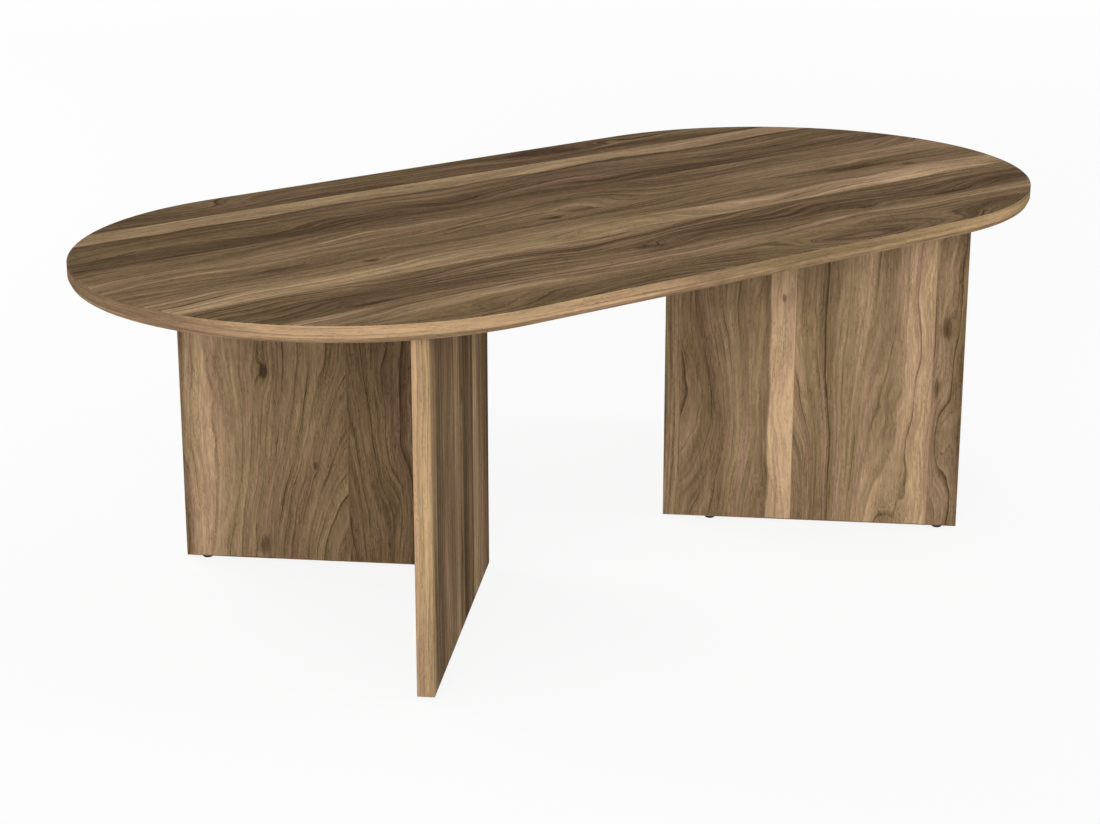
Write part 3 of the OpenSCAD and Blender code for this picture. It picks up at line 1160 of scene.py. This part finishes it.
OUTER_SHORT_VENEER = Veneer(
    strips=(
        Strip({0: 0.84, 18: 0.80}, 1.0, 0.91),
        Strip({18: 0.54, 50: 0.52, 70: 0.50, 90: 0.62, 112: 0.67, 152: 0.58}, 0.9, 0.19),
        Strip({152: 0.64, 160: 0.62, 170: 0.58, 178: 0.48, 190: 0.56, 204: 0.62, 235: 0.77, 262: 0.60,
               276: 0.72, 287: 0.81, 296: 0.93, 312: 0.84}, 0.85, 0.53),
        Strip({312: 0.60, 330: 0.63, 337: 0.56, 342: 0.46, 346.8: 0.43, 347.2: 0.30, 348: 0.30}, 1.0, 0.83),
    ),
    eyes=(
        (277, 138, 9, 4, 3, 0.8, -0.06), (320, 138, 60, 22, 0, 0.0, -0.14),
        (130, 52, 90, 36, -24, 0.0, -0.05), (-30, 100, 150, 26, 24), (246, 327, 26, 10, 9, 0.6, -0.10),
        (174, 318, 20, 5, 6, 0.6, -0.05), (108, 322, 60, 13, 17), (-40, 244, 225, 36, 52, 0.0, 0.02),
        (0, 152, 150, 34, -56, 0.0, 0.0, 1),
    ),
    growth=Growth(0.018, 0.0075, 0.0140, 0.85, 13.0),
    seed=23.9,
    stripe=Stripe(152, 122, 9, 0.98),
)

OUTER_LONG_VENEER = Veneer(
    strips=(
        Strip({0: 0.24, 12: 0.26, 18: 0.37, 30: 0.47, 62: 0.59, 80: 0.78, 112: 0.73}, 0.8, 0.41),
        Strip({112: 0.32, 142: 0.35, 152: 0.20, 166: 0.18, 182: 0.48, 203: 0.44}, 1.0, 0.71),
        Strip({203: 0.69, 228: 0.68, 242: 0.55, 275: 0.475, 308: 0.46}, 0.9, 0.29),
        Strip({308: 0.42, 330: 0.38, 345: 0.20}, 0.9, 0.07),
        Strip({345: 0.46, 351: 0.46, 357: 0.58, 364: 0.72, 376: 0.78}, 0.8, 0.97),
    ),
    eyes=((262, 186, 22, 9, 12, 0.6), (205, 190, 22, 7, 10, 0.4), (85, 190, 22, 7, 10, 0.4)),
    growth=Growth(0.010, 0.0022, 0.009, 1.4),
    seed=31.3,
)

INNER_LONG_VENEER = Veneer(
    strips=(
        Strip({0: 0.34, 70: 0.40, 104: 0.46}, 1.0, 0.61),
        Strip({104: 0.62, 150: 0.54, 212: 0.42}, 0.9, 0.17),
        Strip({212: 0.30, 260: 0.34, 290: 0.44, 376: 0.58}, 1.0, 0.91),
    ),
    eyes=((150, 60, 110, 30, 26), (260, 250, 30, 12, 14, 0.5), (60, 300, 90, 30, 26)),
    growth=Growth(0.022, 0.006, 0.011, 1.0),
    seed=43.1,
)

RIM_TONES = {
    0.00: 0.46, 0.30: 0.40, 0.50: 0.26, 0.66: 0.04, 0.76: -0.07, 0.84: 0.02, 0.92: 0.27, 0.98: 0.46,
    1.03: 0.51, 1.28: 0.47, 1.42: 0.52, 1.57: 0.18, 1.72: 0.33, 1.93: 0.57, 2.02: 0.37, 2.10: 0.27,
    2.30: 0.45, 2.80: 0.54, 3.09: 0.46,
}


def rounded_profile(corners: np.ndarray, radii: np.ndarray, steps: int) -> Tuple[np.ndarray, np.ndarray]:
    """Rounds the corners of a closed profile.

    Each corner becomes an arc that touches both of its sides. The arc's centre is the corner moved
    inwards along the sum of the two sides' outward normals, and the arc's points lie one radius from
    it along normals that turn from one side's to the other's.

    Args:
        corners: the corners, clockwise, one row each of outset and height.
        radii: each corner's radius.
        steps: points to each arc.

    Returns:
        The profile's points and their outward normals, one row each.
    """
    side = np.roll(corners, -1, 0) - corners
    side /= np.linalg.norm(side, axis=1, keepdims=True)
    after = np.stack((-side[:, 1], side[:, 0]), -1)
    before = np.roll(after, 1, 0)
    spread = 1 + (before * after).sum(1, keepdims=True)
    centre = corners - (before + after) * radii[:, None] / spread
    turn = np.linspace(0, 1, steps)[None, :, None]
    normal = before[:, None] * (1 - turn) + after[:, None] * turn
    normal /= np.linalg.norm(normal, axis=2, keepdims=True)
    points = centre[:, None] + radii[:, None, None] * normal
    return points.reshape(-1, 2), normal.reshape(-1, 2)


def racetrack(
    straight: float, radius: float, arc_steps: int, side_steps: int
) -> Tuple[np.ndarray, np.ndarray]:
    """Walks a racetrack from the middle of its back side, anticlockwise seen from above.

    Its angle stands still along each straight side, while its centre moves, and turns evenly round
    each end, while its centre stands still. A point is its centre plus one radius along the angle.

    Args:
        straight: half the length of a straight side.
        radius: the radius of the ends.
        arc_steps: steps round each end.
        side_steps: steps along each half side.

    Returns:
        The points and their outward normals, one row each, with the first not repeated.
    """
    quarter = np.pi / 2
    legs = (
        (0, -straight, quarter, quarter, side_steps),
        (-straight, -straight, quarter, 3 * quarter, arc_steps),
        (-straight, straight, 3 * quarter, 3 * quarter, 2 * side_steps),
        (straight, straight, 3 * quarter, 5 * quarter, arc_steps),
        (straight, 0, 5 * quarter, 5 * quarter, side_steps),
    )
    centre = np.concatenate([np.linspace(a, b, n, endpoint=False) for a, b, _, _, n in legs])
    angle = np.concatenate([np.linspace(a, b, n, endpoint=False) for _, _, a, b, n in legs])
    normal = np.stack((np.cos(angle), np.sin(angle)), -1)
    return normal * radius + np.stack((centre, np.zeros_like(centre)), -1), normal


def stand(name: str, data: bpy.types.ID) -> bpy.types.Object:
    """Adds an object to the scene.

    Args:
        name: its name.
        data: its mesh, lamp or camera.

    Returns:
        The object.
    """
    made = bpy.data.objects.new(name, data)
    bpy.context.scene.collection.objects.link(made)
    return made


@dataclass(frozen=True)
class RimBand:
    """The wooden lipping round the top, as a profile carried along the racetrack.

    Attributes:
        straight: half the length of the top's straight side.
        radius: the radius of its ends.
        bottom: the height of its lower face.
        top: the height of its upper face, under the laminate.
        width: how far it reaches inwards.
        bevel_height: the height of the bevel along its lower edge.
        bevel_run: how far the bevel runs in.
        soft: the radius of the arrises that show.
        tight: the radius of those that don't.
        arc_steps: steps round each end.
        side_steps: steps along each half side.
        corner_steps: points to each arris.
    """

    straight: float = 0.300
    radius: float = 0.300
    bottom: float = 0.379
    top: float = 0.3962
    width: float = 0.005
    bevel_height: float = 0.005
    bevel_run: float = 0.0025
    soft: float = 0.0007
    tight: float = 0.00005
    arc_steps: int = 120
    side_steps: int = 12
    corner_steps: int = 4

    def mesh(self) -> bpy.types.Mesh:
        """Builds the band.

        A point is the racetrack's point moved out by the profile's outset along the racetrack's
        normal, at the profile's height. The UV map holds the length along the band and the height.

        Returns:
            The band's mesh.
        """
        corners = np.array((
            (0.0, self.top),
            (0.0, self.bottom + self.bevel_height),
            (-self.bevel_run, self.bottom),
            (-self.width, self.bottom),
            (-self.width, self.top),
        ))
        radii = np.array((self.tight, self.soft, self.soft, self.tight, self.tight))
        profile, lean = rounded_profile(corners, radii, self.corner_steps)
        path, outward = racetrack(self.straight, self.radius, self.arc_steps, self.side_steps)
        count, ring = len(path), len(profile)
        points = np.empty((count, ring, 3))
        points[..., :2] = path[:, None] + outward[:, None] * profile[None, :, :1]
        points[..., 2] = profile[None, :, 1]
        normals = np.empty_like(points)
        normals[..., :2] = outward[:, None] * lean[None, :, :1]
        normals[..., 2] = lean[None, :, 1]

        i, j = (grid.ravel() for grid in np.meshgrid(np.arange(count), np.arange(ring), indexing="ij"))
        corners_i = np.stack((i, i, i + 1, i + 1), -1)
        corners_j = np.stack((j, j + 1, j + 1, j), -1)
        faces = (corners_i % count) * ring + corners_j % ring
        steps = np.linalg.norm(np.roll(path, -1, 0) - path, axis=1)
        length = np.concatenate(([0.0], np.cumsum(steps)))
        uv = np.stack((length[corners_i], profile[corners_j % ring, 1] - self.bottom), -1)

        mesh = bpy.data.meshes.new("rim_band")
        mesh.from_pydata(points.reshape(-1, 3), [], faces.tolist())
        mesh.uv_layers.new(name=RIM_UV).data.foreach_set("uv", uv.ravel())
        mesh.polygons.foreach_set("use_smooth", np.ones(len(faces), bool))
        mesh.normals_split_custom_set_from_vertices(normals.reshape(-1, 3))
        return mesh


def dress(node: str, finish: Finish) -> None:
    """Gives a CAD node its finish, on every material slot that it has.

    Args:
        node: the node's name.
        finish: its finish.
    """
    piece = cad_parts[node]
    if not piece.material_slots:
        piece.data.materials.append(finish.material())
    for slot in piece.material_slots:
        slot.link = "OBJECT"
        slot.material = finish.material()
    LOG.info("dressed %s in %s", node, finish.name)


@dataclass(frozen=True)
class TableTop:
    """The racetrack top: its laminate, its lipping, its core and its backing."""

    rim: RimBand = RimBand()
    rim_growth: Growth = Growth(0.004, 0.00088, 0.0075)
    rim_lines: float = 0.6
    # The bevel's tone is painted shade: the bevel under the lipping faces down, so its colour is darkened.
    bevel_painted_shade: float = 0.28

    def build(self) -> None:
        """Makes the lipping and dresses the other nodes."""
        rim = self.rim
        end = rim.straight + rim.radius
        span = (-end, end, -rim.radius, rim.radius)
        for sheet, name, grain in (("face", "top", FLAT_GRAIN), ("backing", "backing", UNDER_GRAIN)):
            laminate = WalnutLaminate("walnut_" + name, TOP_VENEER, grain, span, rim.radius)
            dress(f"top_{sheet}_sheet", laminate)
        dress("top_core", Chipboard())
        band = stand("rim_band", rim.mesh())
        # The foot carries the bevel's painted shade.
        foot = (rim.bevel_height, self.bevel_painted_shade)
        wood = SolidWood("rim_wood", HONEY, None, RIM_TONES, 5.3, self.rim_growth, self.rim_lines, foot)
        band.data.materials.append(wood.material())
        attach(band, "table")
        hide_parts("top_lipping")
        LOG.info("built rim_band, %d faces", len(band.data.polygons))


BROWN_TONES = {0.0: 0.40, 0.2: 0.50, 0.4: 0.44}
END_TONES = {0.0: 0.49, 0.2: 0.56, 0.4: 0.51}
CORNER_TONES = {0.0: 0.53, 0.2: 0.62, 0.4: 0.56}
CAMS = (
    "short_cam_near", "short_cam_far", "long_cam_near", "long_cam_far", "corner_cam_low", "corner_cam_high",
)


@dataclass(frozen=True)
class Leg:
    """One L-shaped leg: two panels with their sheets, bands, cores, cams and glides."""

    side: Side
    height: float = 0.379
    foot: float = 0.005
    short_reach: float = 0.348
    long_reach: float = 0.376
    thickness: float = 0.018

    def build(self) -> None:
        """Dresses every node of the leg."""
        name = self.side.name.lower()
        short, long = panel_grain(self.side, Arm.SHORT), panel_grain(self.side, Arm.LONG)
        panels = (
            (Arm.SHORT, short, (self.thickness, self.short_reach), INNER_SHORT_VENEER, OUTER_SHORT_VENEER),
            (Arm.LONG, long, (0.0, self.long_reach), INNER_LONG_VENEER, OUTER_LONG_VENEER),
        )
        for arm, grain, sides, inner, outer in panels:
            for face, veneer in (("inner", inner), ("outer", outer)):
                sheet = f"{name}_{arm.value}_{face}_sheet"
                span = (self.foot, self.height, *sides)
                dress(sheet, WalnutLaminate("walnut_" + sheet, veneer, grain, span))
            wood = SolidWood(f"walnut_{name}_{arm.value}_foot", WALNUT, grain.foot(), BROWN_TONES, 19.1)
            dress(f"{name}_{arm.value}_foot_band", wood)
            dress(f"{name}_{arm.value}_core", Chipboard())
        honey = SolidWood(f"honey_{name}_end", HONEY, short, END_TONES, 7.7)
        dress(f"{name}_long_end_band", honey)
        corner = SolidWood(f"walnut_{name}_corner", WALNUT, short, CORNER_TONES, 13.3)
        dress(f"{name}_long_corner_band", corner)
        dress(f"{name}_short_end_band", SolidWood(f"walnut_{name}_end", WALNUT, long, BROWN_TONES, 17.9))
        dress(f"{name}_glide_pads", MouldedPlastic())
        for cam in CAMS:
            dress(f"{name}_{cam}", NICKEL)


@dataclass(frozen=True)
class Fittings:
    """What the boards hide: bolts, dowels and the nails of the glides."""

    bolts: Tuple[str, ...] = ("top_bolts", "left_corner_bolts", "right_corner_bolts")
    nails: Tuple[str, ...] = ("left_glide_nails", "right_glide_nails")
    dowels: Tuple[str, ...] = ("top_dowels", "left_corner_dowels", "right_corner_dowels")

    def build(self) -> None:
        """Dresses the fittings."""
        growth = Growth(spacing=0.002)
        beech = SolidWood("dowel_beech", BEECH, UPRIGHT_GRAIN, {0.0: 0.5, 1.0: 0.5}, 29.3, growth)
        for nodes, finish in ((self.bolts + self.nails, ZINC), (self.dowels, beech)):
            for node in nodes:
                dress(node, finish)


@dataclass(frozen=True)
class Studio:
    """The plain studio: a pale floor, a white backdrop, soft lamps and the camera.

    Attributes:
        floor_reach: how far the floor reaches each way.
        camera_at: where the camera stands.
        camera_down: how far it looks down, in degrees.
        camera_turn: how far it is turned from the back towards the right, in degrees.
        lens: its focal length, in millimetres.
        sensor: the width of its picture, in millimetres.
        sky: how strongly the backdrop lights the table.
        lamps: each lamp's name, place and power in watts.
        lamp_size: the side of a lamp's square.
        lamp_target: the point that the lamps face.
    """

    floor_reach: float = 14.0
    camera_at: Triple = (-1.6853, -2.0986, 1.0124)
    camera_down: float = 17.609
    camera_turn: float = 38.061
    lens: float = 80.192
    sensor: float = 36.0
    sky: float = 0.61
    lamps: Tuple[Tuple[str, Triple, float], ...] = (
        ("key", (-3.4, -3.2, 1.5), 180.0),
        ("fill", (3.2, -3.0, 1.5), 76.0),
        ("back", (-1.4, 3.6, 1.7), 90.0),
    )
    lamp_size: float = 2.4
    lamp_target: Triple = (0.0, 0.0, 0.2)

    def build(self) -> None:
        """Sets up the floor, the backdrop, the lamps and the camera."""
        self.lay_floor()
        self.light()
        self.aim_camera()
        bpy.context.scene.view_settings.view_transform = "Standard"

    def lay_floor(self) -> None:
        """Lays the floor at the height of the glides' feet."""
        reach = self.floor_reach
        mesh = bpy.data.meshes.new("floor")
        corners = [(-reach, -reach, 0.0), (reach, -reach, 0.0), (reach, reach, 0.0), (-reach, reach, 0.0)]
        mesh.from_pydata(corners, [], [(0, 1, 2, 3)])
        mesh.materials.append(StudioFloor().material())
        floor = stand("floor", mesh)

    def light(self) -> None:
        """Hangs the soft lamps, and makes the backdrop white where it is seen directly."""
        world = bpy.data.worlds.new("studio")
        bpy.context.scene.world = world
        world.use_nodes = True
        world.node_tree.nodes.clear()
        net = Net(world.node_tree)
        strength = seen_directly(net).remap(0.0, 1.0, self.sky, 1.0, smooth=False)
        white = net.out("ShaderNodeBackground", {"Color": WHITE, "Strength": strength})
        net.place("ShaderNodeOutputWorld", {"Surface": white})
        for name, at, power in self.lamps:
            lamp = bpy.data.lights.new(name, "AREA")
            lamp.size, lamp.energy = self.lamp_size, power
            held = stand(name, lamp)
            held.location = at
            aim = Vector(self.lamp_target) - Vector(at)
            held.rotation_euler = aim.to_track_quat("-Z", "Y").to_euler()

    def aim_camera(self) -> None:
        """Places the camera at the photograph's viewpoint."""
        camera = bpy.data.cameras.new("camera")
        camera.sensor_width, camera.lens = self.sensor, self.lens
        held = stand("camera", camera)
        held.location = self.camera_at
        held.rotation_euler = (math.radians(90 - self.camera_down), 0.0, math.radians(-self.camera_turn))
        bpy.context.scene.camera = held


def main() -> None:
    """Builds the table's sub-assemblies in order, then the studio."""
    logging.basicConfig(level=logging.INFO, format="%(message)s", force=True)
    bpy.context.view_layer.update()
    for part in (TableTop(), Leg(Side.LEFT), Leg(Side.RIGHT), Fittings(), Studio()):
        part.build()


if __name__ == "__main__":
    main()
